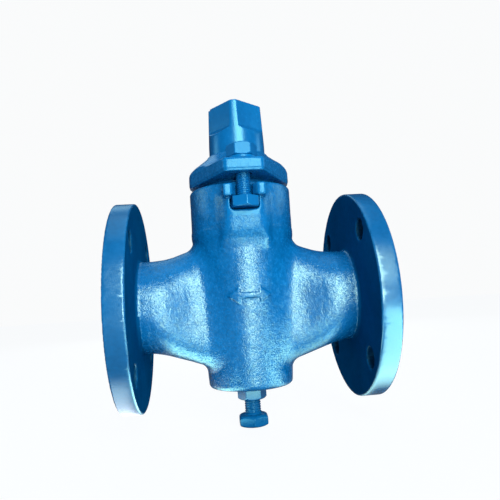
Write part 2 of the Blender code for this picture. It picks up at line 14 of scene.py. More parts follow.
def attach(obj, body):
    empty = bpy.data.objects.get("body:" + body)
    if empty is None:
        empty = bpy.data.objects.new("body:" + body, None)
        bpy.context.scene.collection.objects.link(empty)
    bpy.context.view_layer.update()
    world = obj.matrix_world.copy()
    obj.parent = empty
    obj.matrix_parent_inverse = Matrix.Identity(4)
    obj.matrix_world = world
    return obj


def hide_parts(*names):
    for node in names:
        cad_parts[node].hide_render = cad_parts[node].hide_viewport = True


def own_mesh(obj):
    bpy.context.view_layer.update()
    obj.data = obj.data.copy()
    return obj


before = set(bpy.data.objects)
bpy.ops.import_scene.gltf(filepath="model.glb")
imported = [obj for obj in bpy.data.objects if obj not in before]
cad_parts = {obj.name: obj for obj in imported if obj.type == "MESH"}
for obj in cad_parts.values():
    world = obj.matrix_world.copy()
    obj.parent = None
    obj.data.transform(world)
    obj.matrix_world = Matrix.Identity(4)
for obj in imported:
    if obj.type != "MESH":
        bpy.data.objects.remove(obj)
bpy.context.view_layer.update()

MM = 0.001
COS45 = math.sqrt(0.5)
PIPE_Z = 107.5
GAP = 0.3                             # clearance between stacked pieces

# body
BODY_TOP, BODY_BOTTOM = 97.0, -73.0
FLANGE_RADIUS = 88.96
FLANGE_X, FLANGE_HALF = 99.0, 8.0     # middle and half thickness
FACE_RADIUS, FACE_X = 60.0, 109.99    # raised flange face
HOLE_OFFSET, HOLE_RADIUS = 51.265, 9.0  # flange holes, from the pipe axis in y and in z
PORT = (14.0, 37.0, 37.0, 5.5)        # slot through plug and body: half width, up, down, roundness
SEAT_TAPER = 14.0                     # height per mm of radius

# gland and its two bolts
GLAND_BOTTOM, GLAND_TOP = 101.0, 112.0
HUB_TOP, SLEEVE_END = 128.5, 88.8
TIP_X, TIP_Y, SIDE_X = 15.0, 62.0, 47.0  # corners of the plate's plan
BOLT_Y = 48.0
HEAD_Z, HEAD_HALF = 78.3, 4.3
BOLT_TIP = 127.6
WASHER_RADIUS, WASHER_HEIGHT = 12.0, 2.4

# plug and packing
STEM_TOP, PLUG_BOTTOM = 175.0, -55.0
SQUARE_TURN = math.radians(45.0 - 6.0)
PACK_INNER, PACK_OUTER = 25.55, 32.7
PACK_LOW, PACK_HIGH, PACK_COUNT = 58.6, 88.5, 4

# screw below
JACK_TIP = -63.0
SEAL_HEIGHT, LOCK_HEIGHT = 1.4, 10.0
NUT_FLATS, NUT_BOX = 22.0, 12.9       # width across flats, half width of the sampled box
BALL_RADIUS, BALL_BOX = 4.98, 5.0


# ------------------------------------------------------------------ fields
# A field is a function of x, y, z: below zero inside, above zero outside, close to the distance.
# The last argument of union, meet and cut is the radius of the blended edge. Factors just under 1
# bring sloping sides close to true distance. rad is measured from the stem axis, pipe_rad from
# the pipe axis.
def union(a, b, blend=0.0):
    if blend <= 0:
        return np.minimum(a, b)
    corner = np.sqrt(np.maximum(blend - a, 0) ** 2 + np.maximum(blend - b, 0) ** 2)
    return np.maximum(blend, np.minimum(a, b)) - corner


def meet(a, b, blend=0.0):
    if blend <= 0:
        return np.maximum(a, b)
    corner = np.sqrt(np.maximum(blend + a, 0) ** 2 + np.maximum(blend + b, 0) ** 2)
    return np.minimum(-blend, np.maximum(a, b)) + corner


def cut(a, b, blend=0.0):
    return meet(a, -b, blend)


def slab(value, middle, half):
    return np.abs(value - middle) - half


def slope45(a, b):
    return (a + b) * COS45


def chamfer30(rad, corner, height):
    """Shallow cone that trims a hexagon's corners; height is measured outward from its end."""
    return (rad - corner) * 0.5 + height * 0.866


def box2(a, b, edge):
    """Rounded rectangle from its two side distances."""
    outside = np.hypot(np.maximum(a + edge, 0), np.maximum(b + edge, 0))
    return outside + np.minimum(np.maximum(a, b) + edge, 0) - edge


def box3(a, b, c, edge):
    a, b, c = a + edge, b + edge, c + edge
    outside = np.sqrt(np.maximum(a, 0) ** 2 + np.maximum(b, 0) ** 2 + np.maximum(c, 0) ** 2)
    return outside + np.minimum(np.maximum(np.maximum(a, b), c), 0) - edge


def smoothstep(low, high, value):
    t = np.clip((value - low) / (high - low), 0, 1)
    return t * t * (3 - 2 * t)


def cubic_row(stations, values, at):
    """Cubic through the points, held level beyond the ends."""
    stations, values = np.asarray(stations, float), np.asarray(values, float)
    slope = np.gradient(values, stations)
    i = np.clip(np.searchsorted(stations, at) - 1, 0, len(stations) - 2)
    span = stations[i + 1] - stations[i]
    t = np.clip((at - stations[i]) / span, 0, 1)
    return (
        (2 * t**3 - 3 * t**2 + 1) * values[i] + (t**3 - 2 * t**2 + t) * span * slope[i]
        + (-2 * t**3 + 3 * t**2) * values[i + 1] + (t**3 - t**2) * span * slope[i + 1]
    )


STATION_GRID = np.linspace(0, 130, 1301)


def dense(rows):
    """Every column after the first, as values on STATION_GRID."""
    stations, *columns = zip(*rows)
    return [cubic_row(stations, column, STATION_GRID) for column in columns]


def sections(columns, abs_x):
    return [np.interp(abs_x, STATION_GRID, column) for column in columns]


def lobed(y, z, width, up, down, power):
    """Superellipse section, width each way, up and down high."""
    height = np.where(z > 0, up, down)
    a, b = np.abs(y) / width + 1e-9, np.abs(z) / height + 1e-9
    level = (a**power + b**power) ** (1.0 / power)
    steepness = np.hypot(a ** (power - 1) / width, b ** (power - 1) / height)
    steepness = np.maximum(level, 0.25) ** (1 - power) * steepness
    return (level - 1) / np.maximum(steepness, 1e-3)


# ------------------------------------------------------------------ surfaces from fields
def surface_net(values):
    """Quads on the zero level of a grid of values: one point in each crossed cell."""
    inside = values < 0
    corners = [(a, b, c) for a in (0, 1) for b in (0, 1) for c in (0, 1)]
    shape = tuple(size - 1 for size in values.shape)
    count = np.zeros(shape, np.uint8)
    for a, b, c in corners:
        count += inside[a:a + shape[0], b:b + shape[1], c:c + shape[2]]
    crossed = (count > 0) & (count < 8)
    cells = np.argwhere(crossed)
    index = np.full(shape, -1, np.int32)
    index[crossed] = np.arange(len(cells), dtype=np.int32)
    i, j, k = cells.T
    at_corner = np.stack([values[i + a, j + b, k + c] for a, b, c in corners], 1)
    at_corner = at_corner.astype(np.float64)

    # each point is the mean of the crossings on its cell's edges
    total, hits = np.zeros((len(cells), 3)), np.zeros(len(cells))
    for i in range(8):
        for j in range(i + 1, 8):
            edge = np.array(corners[j]) - np.array(corners[i])
            if np.abs(edge).sum() != 1:
                continue
            start, end = at_corner[:, i], at_corner[:, j]
            hit = (start < 0) != (end < 0)
            t = np.where(hit, start / np.where(hit, start - end, 1), 0)
            total += hit[:, None] * (np.array(corners[i]) + t[:, None] * edge)
            hits += hit
    points = total / hits[:, None] + cells

    # each crossed grid edge joins the four cells around it
    quads = []
    for axis in range(3):
        side1, side2 = (axis + 1) % 3, (axis + 2) % 3
        near, far = [slice(1, -1)] * 3, [slice(1, -1)] * 3
        near[axis], far[axis] = slice(0, -1), slice(1, None)
        near_in, far_in = inside[tuple(near)], inside[tuple(far)]
        edges = np.argwhere(near_in != far_in)
        outward = near_in[tuple(edges.T)]
        edges[:, side1] += 1
        edges[:, side2] += 1
        ring = []
        for step1, step2 in ((-1, -1), (0, -1), (0, 0), (-1, 0)):
            cell = edges.copy()
            cell[:, side1] += step1
            cell[:, side2] += step2
            ring.append(index[tuple(cell.T)])
        quad = np.stack(ring, 1)
        quad[~outward] = quad[~outward][:, ::-1]
        quads.append(quad)
    return points, np.concatenate(quads)


def gradient(field, points, reach=0.04):
    slopes = []
    for shift in np.eye(3) * reach:
        slopes.append(field(*(points + shift).T) - field(*(points - shift).T))
    return np.stack(slopes, 1) / (2 * reach)


def sample(field, low, high, step):
    """Field values on a grid, worked out in layers of x to save memory."""
    size = np.ceil((high - low) / step).astype(int) + 1
    xs, ys, zs = (low[k] + step * np.arange(size[k]) for k in range(3))
    values = np.empty(tuple(size), np.float32)
    for i in range(0, size[0], 16):
        values[i:i + 16] = field(xs[i:i + 16, None, None], ys[None, :, None], zs[None, None, :])
    return values


def settle(field, points, step):
    """Pull the points onto the surface, less than half a cell at a time."""
    for _ in range(3):
        slope = gradient(field, points)
        steepness = np.maximum((slope * slope).sum(1), 0.05)
        move = (field(*points.T) / steepness)[:, None] * slope
        length = np.linalg.norm(move, axis=1)
        move *= np.minimum(1, 0.45 * step / np.maximum(length, 1e-9))[:, None]
        points = points - move
    return points


def mesh_from(name, points, quads):
    mesh = bpy.data.meshes.new(name)
    mesh.vertices.add(len(points))
    mesh.vertices.foreach_set("co", np.ascontiguousarray(points, np.float32).ravel())
    mesh.loops.add(len(quads) * 4)
    mesh.loops.foreach_set("vertex_index", np.ascontiguousarray(quads, np.int32).ravel())
    mesh.polygons.add(len(quads))
    mesh.polygons.foreach_set("loop_start", np.arange(0, len(quads) * 4, 4, dtype=np.int32))
    mesh.update(calc_edges=True)
    mesh.validate()
    mesh.shade_smooth()
    return mesh


def thin(piece, ratio):
    """Bake a decimated copy of the mesh into the piece."""
    modifier = piece.modifiers.new("thin", "DECIMATE")
    modifier.ratio = ratio
    bpy.context.view_layer.update()
    evaluated = piece.evaluated_get(bpy.context.evaluated_depsgraph_get())
    mesh = bpy.data.meshes.new_from_object(evaluated)
    piece.modifiers.clear()
    piece.data = mesh
    mesh.name = piece.name
    mesh.shade_smooth()


def solid(name, field, half, heights, step, y=0.0, rough=None, limit=None):
    """The field's surface as an object, sampled in a box.

    The box is half = (x, y) each way from x = 0 and the given y, between two heights.
    rough(points) gives mm to push out; limit is the most triangles to keep.
    """
    low = np.array((-half[0], y - half[1], heights[0]), float) - 1.5 * step
    high = np.array((half[0], y + half[1], heights[1]), float) + 1.5 * step
    points, quads = surface_net(sample(field, low, high, step))
    points = settle(field, low + points * step, step)
    if rough is not None:
        normals = gradient(field, points, 0.25)
        normals /= np.maximum(np.linalg.norm(normals, axis=1), 1e-6)[:, None]
        points = points + normals * rough(points)[:, None]
    points = np.clip(points, low, high)
    points[:, 2] += PIPE_Z
    piece = bpy.data.objects.new(name, mesh_from(name, points * MM, quads))
    bpy.context.scene.collection.objects.link(piece)
    if limit and len(quads) * 2 > limit:
        thin(piece, limit / (len(quads) * 2.0))
    return piece


def lumps(points, size, seed):
    """Smooth noise, -1 to 1, at each point; size in mm."""
    offset = np.array(Vector((seed * 17.3, seed * 5.1, -seed * 9.7)))
    places = points * (1.0 / size) + offset
    return np.array([noise.noise(place) for place in places.tolist()])


# ------------------------------------------------------------------ the casting
NECK = dense([
    # x, half width, up, down, roundness above, roundness below
    (0.0, 28.6, 51.2, 54.4, 2.65, 5.0),
    (30.0, 28.8, 50.8, 54.0, 2.65, 5.0),
    (37.0, 29.0, 49.6, 52.6, 2.6, 5.0),
    (43.0, 29.6, 47.8, 50.9, 2.5, 4.9),
    (49.0, 30.8, 45.6, 48.8, 2.25, 4.6),
    (55.0, 32.6, 43.4, 46.8, 2.15, 4.15),
    (61.0, 34.6, 41.4, 44.9, 2.05, 3.8),
    (67.0, 36.6, 39.9, 43.2, 2.0, 3.3),
    (75.0, 38.1, 38.8, 41.4, 2.0, 2.75),
    (84.0, 38.5, 38.4, 40.2, 2.0, 2.35),
    (92.0, 38.5, 38.4, 39.6, 2.0, 2.1),
    (130.0, 38.5, 38.4, 39.4, 2.0, 2.0),
])
WATERWAY = dense([
    # x, half width, up, down, roundness
    (0.0, *PORT),
    (31.0, *PORT),
    (45.0, 17.5, 36.3, 36.3, 4.0),
    (62.0, 26.0, 34.3, 34.3, 2.5),
    (82.0, 32.5, 32.5, 32.5, 2.0),
    (130.0, 32.5, 32.5, 32.5, 2.0),
])


def two_way_arrow(x, z):
    """Outline of an arrow along x with a head at both ends."""
    abs_x, abs_z = np.abs(x), np.abs(z)
    shaft = np.maximum(abs_x - 9.5, abs_z - 2.0)
    head = np.maximum(8.0 - abs_x, (abs_x - 18.0) * 0.545 + abs_z * 0.838)
    return np.minimum(shaft, head)


def outer_body(x, y, z):
    """The casting without its openings."""
    abs_x, abs_y = np.abs(x), np.abs(y)
    rad, pipe_rad = np.hypot(x, y), np.hypot(y, z)

    # tapered barrel with the arrow raised on its front
    barrel = (rad - (40.6 + z / 16.0)) * 0.998
    mark = meet(barrel - 1.2, two_way_arrow(x, z - 4.0), 0.35)
    mark = np.maximum(mark, y + 5.0)
    barrel = union(barrel, mark, 0.2)
    barrel = meet(meet(barrel, BODY_BOTTOM - z, 3.4), z - 60.0, 1.0)

    # round packing box, sloped underneath
    box = meet(rad - 44.6, z - BODY_TOP, 2.4)
    box = meet(box, slope45(rad - 43.9, 52.3 - z), 1.6)
    core = union(barrel, box, 1.8)

    # block that carries the gland bolts at front and rear, sloped underneath
    boss = box2(abs_x - 18.8, abs_y - 48.9, 8.5)
    boss = meet(boss, z - 85.5, 1.0)
    boss = meet(boss, slope45(abs_y - 44.4, 51.3 - z), 2.6)
    core = union(core, boss, 6.5)

    # necks out to the flanges
    width, up, down, above, below = sections(NECK, abs_x)
    neck = lobed(y, z, width, up, down, np.where(z > 0, above, below))
    core = union(core, np.maximum(neck, abs_x - 96.0), 7.0)

    # flat ears over the bolt heads
    ear = box3(abs_x - 17.1, abs_y - 56.0, slab(z, 88.0, 5.0), 1.1)
    core = union(core, ear, 1.6)

    # flanges and their raised faces
    disc = meet(pipe_rad - FLANGE_RADIUS, slab(abs_x, FLANGE_X, FLANGE_HALF), 1.0)
    core = union(core, disc, 3.2)
    face = meet(pipe_rad - FACE_RADIUS, abs_x - FACE_X, 0.5)
    return union(core, np.maximum(face, 100.0 - abs_x), 0.3)


def body_field(x, y, z):
    abs_x, abs_y = np.abs(x), np.abs(y)
    rad = np.hypot(x, y)
    shape = outer_body(x, y, z)

    # bolt holes in the flanges
    hole = np.hypot(abs_y - HOLE_OFFSET, np.abs(z) - HOLE_OFFSET) - HOLE_RADIUS
    shape = cut(shape, np.maximum(hole, 80.0 - abs_x), 0.5)

    # pocket for each gland bolt's head, open outward, and the flared slot above it
    back = 35.4 + np.maximum(abs_x - 3.0, 0) * 0.8
    pocket = meet(box2(abs_x - 11.9, slab(z, HEAD_Z, 5.6), 3.2), back - abs_y, 0.8)
    shape = cut(shape, pocket, 0.5)
    slot_half = 7.0
    flare = slot_half + np.maximum(abs_y - 49.0, 0) * 0.54
    slot = np.where(abs_y > BOLT_Y, abs_x - flare, np.hypot(x, abs_y - BOLT_Y) - slot_half)
    shape = cut(shape, np.maximum(slot, 80.0 - z), 0.8)

    # tapered seat, packing box, sump and screw hole
    seat = (rad - 27.9 - z / SEAT_TAPER) * 0.9975
    cavity = np.maximum(np.maximum(seat, -56.0 - z), z - 56.0)
    cavity = np.minimum(cavity, np.maximum(rad - 33.0, 55.0 - z))
    cavity = np.minimum(cavity, np.maximum(rad - 22.6, np.maximum(-62.0 - z, z + 50.0)))
    cavity = np.minimum(cavity, np.maximum(rad - 7.15, z + 58.0))
    shape = cut(shape, cavity, 0.5)

    waterway = lobed(y, z, *sections(WATERWAY, abs_x))
    return cut(shape, np.maximum(waterway, 8.0 - abs_x), 0.5)


def body_rough(points):
    """Sand-cast lumps, faded out where the casting is machined."""
    x, y, z = points.T
    abs_x, rad, pipe_rad = np.abs(x), np.hypot(x, y), np.hypot(y, z)
    cast = 1 - smoothstep(106.3, 107.0, abs_x)                              # flange faces
    cast *= 1 - 0.85 * smoothstep(86.5, 88.5, pipe_rad) * (abs_x > 90)      # flange rims
    cast *= 1 - 0.9 * smoothstep(96.0, 96.8, z)                             # packing box top
    inside = (rad < 33.6) & (z > -62.6) | (outer_body(x, y, z) < -2.0)
    cast = np.where(inside, np.where(pipe_rad < 34, 0.35, 0.0), cast)
    cast = np.where((rad < 34.0) & (abs_x < 34), 0.0, cast)
    return cast * (0.16 * lumps(points, size=11.0, seed=1) + 0.11 * lumps(points, 3.6, seed=2))


# ------------------------------------------------------------------ plug, gland
def plug_field(x, y, z):
    rad = np.hypot(x, y)

    # stem with a square end that draws in upward, and a groove along x in its top
    stem_radius = 25.1 - np.maximum(z - 138.0, 0) * 0.038
    stem = meet(rad - stem_radius, z - STEM_TOP, 0.5)
    cos, sin = math.cos(SQUARE_TURN), math.sin(SQUARE_TURN)
    for across in (x * cos + y * sin, x * sin - y * cos):
        flat = 18.5 + 0.055 * (STEM_TOP - z) + np.maximum(151.0 - z, 0) * 1.05
        stem = cut(stem, flat - np.abs(across), 0.4)
    stem = cut(stem, np.maximum(np.abs(y) - 1.5, 173.6 - z), 0.3)
    stem = np.maximum(stem, 48.0 - z)

    # tapered plug with its port and a dimple for the thrust ball
    cone = (rad - (27.6 + z / SEAT_TAPER)) * 0.9975
    cone = meet(meet(cone, z - 52.0, 0.9), PLUG_BOTTOM - z, 0.9)
    cone = cut(cone, lobed(y, z, *PORT), 0.6)
    dimple = np.maximum(rad - 6.4, z + 50.2)
    return cut(union(cone, stem, 2.0), dimple, 0.4)


def gland_plan(x, y):
    """Plan of the gland: blunt tips at the bolts, soft corners at the sides."""
    abs_x, abs_y = np.abs(x), np.abs(y)
    run = SIDE_X - TIP_X
    length = np.hypot(run, TIP_Y)

    def edge(along):
        return (abs_x - TIP_X) * (TIP_Y / length) + (along - TIP_Y) * (run / length)

    return meet(meet(edge(abs_y), abs_y - TIP_Y, 1.6), edge(-abs_y), 9.0)


# z, radius
HUB = [
    (100.0, 90.0), (111.6, 60.0), (112.0, 47.2), (113.9, 44.0), (117.2, 40.0),
    (120.9, 35.0), (124.9, 30.0), (127.2, 27.8), (129.2, 26.9), (135.0, 26.9),
]


def gland_field(x, y, z):
    rad = np.hypot(x, y)
    bolt_rad = np.hypot(x, np.abs(y) - BOLT_Y)
    plan = gland_plan(x, y)
    middle, half = (GLAND_TOP + GLAND_BOTTOM) / 2, (GLAND_TOP - GLAND_BOTTOM) / 2
    plate = meet(plan, slab(z, middle, half), 1.0)
    hub = meet((rad - np.interp(z, *zip(*HUB))) * 0.65, z - HUB_TOP, 0.8)
    hub = np.maximum(meet(hub, plan, 1.2), 104.0 - z)
    sleeve = np.maximum(meet(rad - PACK_OUTER, SLEEVE_END - z, 0.8), z - 106.0)
    shape = union(plate, hub, 2.0)
    spot_face = np.maximum(bolt_rad - 13.2, GLAND_TOP - z)
    shape = cut(shape, spot_face, 0.5)
    shape = union(shape, sleeve, 0.8)
    shape = cut(shape, rad - PACK_INNER, 0.6)
    return cut(shape, np.maximum(bolt_rad - 7.0, z - 116.0), 0.6)


def gland_rough(points):
    """Cast lumps, left off the sleeve and the bore."""
    x, y, z = points.T
    rad = np.hypot(x, y)
    cast = np.where((rad < 33.2) & (z < 101.5), 0.0, 1.0) * np.where(rad < 26.0, 0.0, 1.0)
    return cast * (0.14 * lumps(points, size=9.0, seed=3) + 0.07 * lumps(points, 3.2, seed=4))


# ------------------------------------------------------------------ fasteners, rings
def hexagon(x, y, flats, turn):
    """Hexagonal prism, flats wide across its flats."""
    shape = None
    for k in range(3):
        angle = turn + k * math.pi / 3
        pair = np.abs(x * math.cos(angle) + y * math.sin(angle)) - flats / 2
        shape = pair if shape is None else meet(shape, pair, 0.5)
    return shape


def thread(x, y, z, radius, pitch, depth):
    """Right-hand thread, rounded crests and roots."""
    phase = z / pitch - np.arctan2(y, x) / (2 * math.pi)
    crest = np.abs(((phase % 1.0) - 0.5) * 2)           # 1 at a crest's middle, 0 at the root
    crest = crest * crest * (3 - 2 * crest) * 0.6 + crest * 0.4
    return (np.hypot(x, y) - (radius - depth * (1 - crest))) * 0.8


def shank(x, y, z, radius, pitch, depth, tip, tip_radius):
    """Threaded rod with a chamfered upper end."""
    rod = meet(thread(x, y, z, radius, pitch, depth), z - tip, 0.3)
    return meet(rod, slope45(np.hypot(x, y) - tip_radius, z - tip), 0.2)


def gland_bolt_field(bolt_y):
    def field(x, y, z):
        y = y - bolt_y
        rad = np.hypot(x, y)
        head = hexagon(x, y, flats=21.0, turn=math.radians(6.0))
        head = meet(head, slab(z, HEAD_Z, HEAD_HALF), 0.35)
        head = meet(head, chamfer30(rad, 10.1, HEAD_Z - HEAD_HALF - z), 0.35)
        collar = np.maximum(meet(rad - 8.6, z - 82.95, 0.2), 80.0 - z)
        rod = shank(x, y, z, radius=5.98, pitch=1.75, depth=0.95, tip=BOLT_TIP, tip_radius=5.0)
        return union(union(head, collar, 0.3), np.maximum(rod, 80.0 - z), 0.6)
    return field


def jack_field(x, y, z):
    rad = np.hypot(x, y)
    middle, half = -102.5, 5.0
    head = meet(hexagon(x, y, flats=24.0, turn=0.0), slab(z, middle, half), 0.7)
    head = meet(head, chamfer30(rad, 11.0, middle - half - z), 0.7)
    head = meet(head, (rad - 10.6) * 0.6 + (z - (middle + half)) * 0.8, 0.9)
    rod = shank(x, y, z, radius=6.99, pitch=2.0, depth=0.7, tip=JACK_TIP, tip_radius=5.6)
    return union(head, np.maximum(rod, -103.0 - z), 2.6)


def nut(name, bottom, top, bore, y=0.0):
    """Plain hexagon nut, chamfered at both ends and at the mouths of its bore."""
    center_y = y

    def field(x, y, z):
        y = y - center_y
        rad = np.hypot(x, y)
        shape = hexagon(x, y, NUT_FLATS, turn=math.pi / 2)
        shape = meet(shape, slab(z, (bottom + top) / 2, (top - bottom) / 2), 0.35)
        corner = NUT_FLATS / 2 - 0.5
        shape = meet(shape, chamfer30(rad, corner, z - top), 0.35)
        shape = meet(shape, chamfer30(rad, corner, bottom - z), 0.35)
        shape = cut(shape, rad - bore, 0.25)
        mouth = (rad - bore) - np.maximum(0.0, 1.1 - np.minimum(top - z, z - bottom))
        return cut(shape, mouth * 0.7)
    return solid(name, field, (NUT_BOX, NUT_BOX), (bottom, top), step=0.36, y=y)


def flat_ring(name, inner, outer, bottom, top, edge, step, y=0.0):
    """Washer with rounded edges."""
    center_y = y

    def field(x, y, z):
        across = slab(np.hypot(x, y - center_y), (inner + outer) / 2, (outer - inner) / 2)
        return box2(across, slab(z, (bottom + top) / 2, (top - bottom) / 2), edge)
    return solid(name, field, (outer, outer), (bottom, top), step, y=y)


def packing_field(bottom, top):
    """Square braided cord bent to a ring: plaits show on every side."""
    mid_radius, half_width = (PACK_INNER + PACK_OUTER) / 2, (PACK_OUTER - PACK_INNER) / 2
    half_height = (top - bottom) / 2

    def field(x, y, z):
        across, rise = np.hypot(x, y) - mid_radius, z - (bottom + top) / 2
        cord = box2(np.abs(across) - half_width, np.abs(rise) - half_height, 1.3)
        along = np.arctan2(y, x) * 44.0
        on_ends = np.sin(along + across * 1.45) * np.sin(along - across * 1.45)
        on_sides = np.sin(along + rise * 1.6) * np.sin(along - rise * 1.6)
        end = smoothstep(0.55, 0.95, np.abs(rise) / half_height)
        plait = on_ends * end + on_sides * (1 - end)
        return cord + 0.28 * (0.5 - 0.5 * plait) + 0.02
    return field


# ------------------------------------------------------------------ materials
def srgb(*levels):
    """Linear colour from 0-255 levels."""
    parts = [level / 255.0 for level in levels]
    return tuple(c / 12.92 if c <= 0.04045 else ((c + 0.055) / 1.055) ** 2.4 for c in parts) + (1.0,)


class Nodes:
    """Short ways to add and link nodes; a value may be a number, a tuple or a socket."""
    def __init__(self, tree):
        self.tree = tree

    def node(self, kind, **settings):
        node = self.tree.nodes.new(kind)
        for key, value in settings.items():
            setattr(node, key, value)
        return node

    def feed(self, socket, value):
        if isinstance(value, (int, float, tuple)):
            socket.default_value = value
        else:
            self.tree.links.new(value, socket)

    def mix(self, factor, a, b, mode="MIX"):
        node = self.node("ShaderNodeMix", data_type="RGBA", blend_type=mode)
        for socket, value in ((0, factor), (6, a), (7, b)):
            self.feed(node.inputs[socket], value)
        return node.outputs[2]

    def math(self, operation, a, b=0.0):
        node = self.node("ShaderNodeMath", operation=operation)
        self.feed(node.inputs[0], a)
        self.feed(node.inputs[1], b)
        return node.outputs[0]

    def ramp(self, factor, *stops):
        """Each stop is a position with a grey level or a colour."""
        node = self.node("ShaderNodeValToRGB")
        elements = node.color_ramp.elements
        for _ in stops[2:]:
            elements.new(0.5)
        for element, (position, value) in zip(elements, stops):
            element.position = position
            element.color = value if isinstance(value, tuple) else (value, value, value, 1.0)
        self.feed(node.inputs["Fac"], factor)
        return node.outputs["Color"]


class Material(Nodes):
    """A Principled material with textures in object coordinates."""
    def __init__(self, name):
        self.data = bpy.data.materials.new(name)
        self.data.use_nodes = True
        super().__init__(self.data.node_tree)
        self.shader = self.tree.nodes["Principled BSDF"]
        self.coords = self.node("ShaderNodeTexCoord").outputs["Object"]

    def set(self, **values):
        for key, value in values.items():
            self.feed(self.shader.inputs[key.replace("_", " ")], value)

    def noise(self, scale, detail=2.0, rough=0.5, at=None):
        node = self.node("ShaderNodeTexNoise")
        node.inputs["Scale"].default_value = scale
        node.inputs["Detail"].default_value = detail
        node.inputs["Roughness"].default_value = rough
        self.feed(node.inputs["Vector"], at or self.coords)
        return node.outputs["Fac"]

    def bump(self, height, strength, distance, normal=None):
        node = self.node("ShaderNodeBump")
        node.inputs["Strength"].default_value = strength
        node.inputs["Distance"].default_value = distance
        self.feed(node.inputs["Height"], height)
        if normal is not None:
            self.feed(node.inputs["Normal"], normal)
        return node.outputs["Normal"]

    def xyz(self):
        node = self.node("ShaderNodeSeparateXYZ")
        self.feed(node.inputs[0], self.coords)
        return node.outputs


# ramp position, colour
BLUES = [(0.30, (0.001, 0.115, 0.325)), (0.5, (0.001, 0.132, 0.365)), (0.72, (0.001, 0.152, 0.410))]


def paint(name, cast=1.0, seed=0.0, tint=1.0, rough=0.30, spec=1.0, gloss=(0.36, 0.95, 0.95),
          ior=1.5, grit=(0.75, 0.55)):
    """Gloss enamel. cast sets how much sand-cast grain shows through, grit its two bump strengths."""
    mat = Material(name)
    shift = mat.node("ShaderNodeVectorMath", operation="ADD")
    shift.inputs[1].default_value = (seed, seed * 0.7, -seed)
    mat.feed(shift.inputs[0], mat.coords)
    at = shift.outputs[0]
    fine = mat.noise(310, detail=4, rough=0.6, at=at)
    blues = [(place, tuple(c * tint for c in blue) + (1.0,)) for place, blue in BLUES]
    base = mat.ramp(mat.noise(26, detail=3, rough=0.55, at=at), *blues)
    spread = 0.35 + 0.65 * cast
    speck = mat.ramp(fine, (0.34, 1.0 - 0.18 * spread), (0.5, 1.0), (0.7, 1.0 + 0.12 * spread))
    colour = mat.mix(1.0, base, speck, "MULTIPLY")

    # thin paint on the raised edges (wear); painted shade darkening concave places
    pointiness = mat.node("ShaderNodeNewGeometry").outputs["Pointiness"]
    edge = mat.ramp(pointiness, (0.505, 0.0), (0.56, 1.0))
    patches = mat.ramp(mat.noise(150, detail=4, rough=0.7, at=at), (0.45, 0.0), (0.62, 1.0))
    wear = mat.math("MULTIPLY", edge, patches)
    colour = mat.mix(mat.math("MULTIPLY", wear, 0.3), colour, (0.02, 0.24, 0.55, 1))
    # painted shade: places of low pointiness are mixed toward dark navy
    hollow_shade = mat.ramp(pointiness, (0.44, 1.0), (0.495, 0.0))
    colour = mat.mix(mat.math("MULTIPLY", hollow_shade, 0.45), colour, (0.0, 0.04, 0.15, 1))

    roughness = mat.ramp(fine, (0.3, rough - 0.05 * spread), (0.7, rough + 0.08 * spread))
    mat.set(Base_Color=colour, Roughness=roughness, IOR=ior,
            Specular_IOR_Level=spec, Specular_Tint=gloss + (1.0,))
    if cast > 0.5:
        sheen = mat.noise(720, detail=3, rough=0.6, at=at)
        mat.set(Specular_IOR_Level=mat.ramp(sheen, (0.36, 0.34 * spec), (0.60, spec)))
    if cast > 0:
        grain = mat.noise(780, detail=2, rough=0.55, at=at)
        normal = mat.bump(grain, strength=grit[0] * cast, distance=0.0004)
        normal = mat.bump(fine, strength=grit[1] * cast, distance=0.0008, normal=normal)
    else:
        normal = mat.bump(mat.noise(190, detail=3, at=at), strength=0.18, distance=0.0003)
    mat.set(Normal=normal)
    return mat.data


def turned(name, about_pipe, pitch, colour, rough, depth, metallic):
    """Machined steel with tool marks: rings about the pipe axis, or steps in height."""
    mat = Material(name)
    _, y, z = mat.xyz()
    travel = z
    if about_pipe:
        rise = mat.math("SUBTRACT", z, PIPE_Z * MM)
        squares = mat.math("ADD", mat.math("MULTIPLY", y, y), mat.math("MULTIPLY", rise, rise))
        travel = mat.math("SQRT", squares)
    wave = mat.math("SINE", mat.math("MULTIPLY", travel, 2 * math.pi / pitch))
    dark = srgb(*(int(c * 0.78) for c in colour))
    steel = mat.ramp(mat.noise(90, detail=4, rough=0.6), (0.3, dark), (0.7, srgb(*colour)))
    rust = mat.ramp(mat.noise(55, detail=5, rough=0.7), (0.58, 0.0), (0.72, 0.35))
    haze = mat.noise(240, detail=3, rough=0.6)
    mat.set(Base_Color=mat.mix(rust, steel, srgb(112, 84, 62)), Metallic=metallic,
            Roughness=mat.ramp(haze, (0.3, rough - 0.07), (0.7, rough + 0.12)),
            Normal=mat.bump(wave, strength=0.6, distance=depth))
    return mat.data


def raw_casting():
    mat = Material("raw_casting")
    colour = mat.ramp(mat.noise(120, detail=5, rough=0.65),
                      (0.3, srgb(58, 56, 55)), (0.55, srgb(92, 88, 84)), (0.75, srgb(118, 96, 78)))
    mat.set(Base_Color=colour, Metallic=0.55,
            Roughness=mat.ramp(mat.noise(300, detail=3), (0.3, 0.48), (0.7, 0.75)),
            Normal=mat.bump(mat.noise(520, detail=3, rough=0.6), strength=0.6, distance=0.0004))
    return mat.data


def braided_graphite():
    mat = Material("braided_graphite")
    colour = mat.ramp(mat.noise(700, detail=4, rough=0.6),
                      (0.3, srgb(26, 26, 28)), (0.7, srgb(66, 66, 70)))
    mat.set(Base_Color=colour, Metallic=0.25,
            Roughness=mat.ramp(mat.noise(900), (0.3, 0.42), (0.7, 0.68)),
            Normal=mat.bump(mat.noise(1600, detail=3, rough=0.6), strength=0.5, distance=0.00015))
    return mat.data


